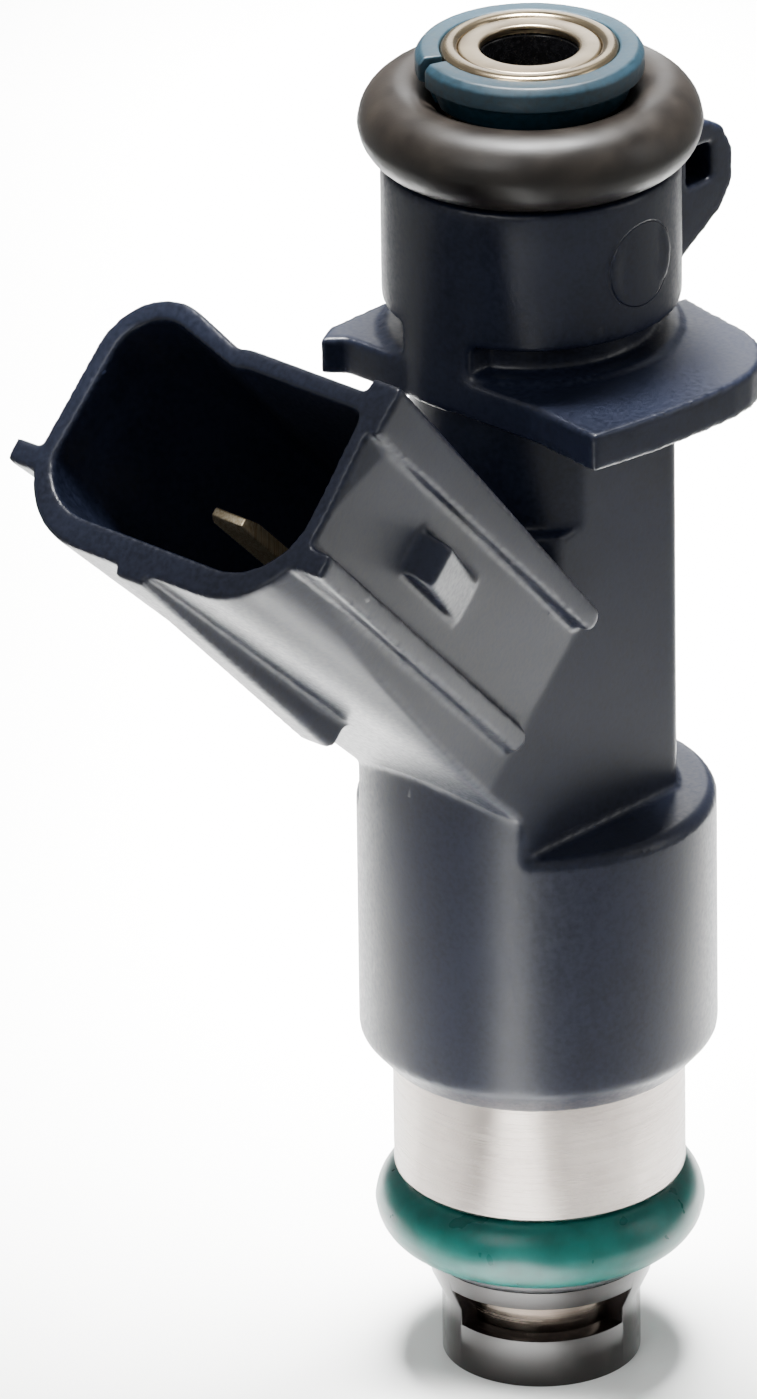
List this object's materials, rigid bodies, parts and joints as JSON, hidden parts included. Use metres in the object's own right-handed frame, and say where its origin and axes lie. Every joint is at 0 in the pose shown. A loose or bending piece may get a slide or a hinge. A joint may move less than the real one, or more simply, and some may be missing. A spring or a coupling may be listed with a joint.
{
  "type": "fuel injector",
  "caption": "Port fuel injector with a moulded body, angled plug socket, clip flange, two sealing rings and a lifting ball valve.",
  "frame": {"origin": "centre of the spray tip's flat end", "axes": "+Z along the injector's axis towards the fuel inlet; the plug socket leans out towards -X at 45 degrees; the clip flange's wide lobe points to -Y"},
  "size_m": [0.035, 0.0194, 0.0616],
  "materials": {
    "body_nylon": "moulded glass-filled nylon, dark slate with a soft sheen",
    "ground_stainless": "ground and turned stainless steel",
    "steel": "machined magnetic stainless steel",
    "black_nylon": "moulded black nylon",
    "filter_mesh": "fine woven nylon mesh",
    "enamelled_copper": "enamelled copper wire",
    "tinned_brass": "bright tin over brass strip",
    "dark_rubber": "dark brown-grey fluorocarbon rubber",
    "teal_rubber": "teal fluorocarbon rubber",
    "blue_plastic": "moulded blue-grey nylon",
    "dark_gloss_plastic": "glossy dark brown moulded plastic"
  },
  "bodies": {
    "injector_body": {"moulded_body": "body_nylon", "inlet_tube": "ground_stainless", "filter_collar": "ground_stainless", "filter_frame": "black_nylon", "filter_screen": "filter_mesh", "spring_adjuster": "steel", "return_spring": "steel", "ball_guide": "steel", "valve_seat": "steel", "orifice_plate": "steel", "valve_tube": "steel", "non_magnetic_ring": "steel", "coil_bobbin": "black_nylon", "coil_winding": "enamelled_copper", "valve_housing": "ground_stainless", "yoke_washer": "steel", "terminal_left": "tinned_brass", "terminal_right": "tinned_brass", "upper_o_ring": "dark_rubber", "lower_o_ring": "teal_rubber", "upper_collar": "blue_plastic", "backup_washer": "black_nylon", "tip_cap": "dark_gloss_plastic"},
    "valve": {"armature": "steel", "needle_tube": "ground_stainless", "valve_ball": "ground_stainless"}
  },
  "joints": [
    {"name": "valve_lift", "type": "slide", "parent": "injector_body", "child": "valve", "axis": [0, 0, 1], "range_m": [0, 0.0001], "stiffness_N_per_m": 1000, "springref_m": -0.001, "deforming": ["return_spring"]}
  ]
}
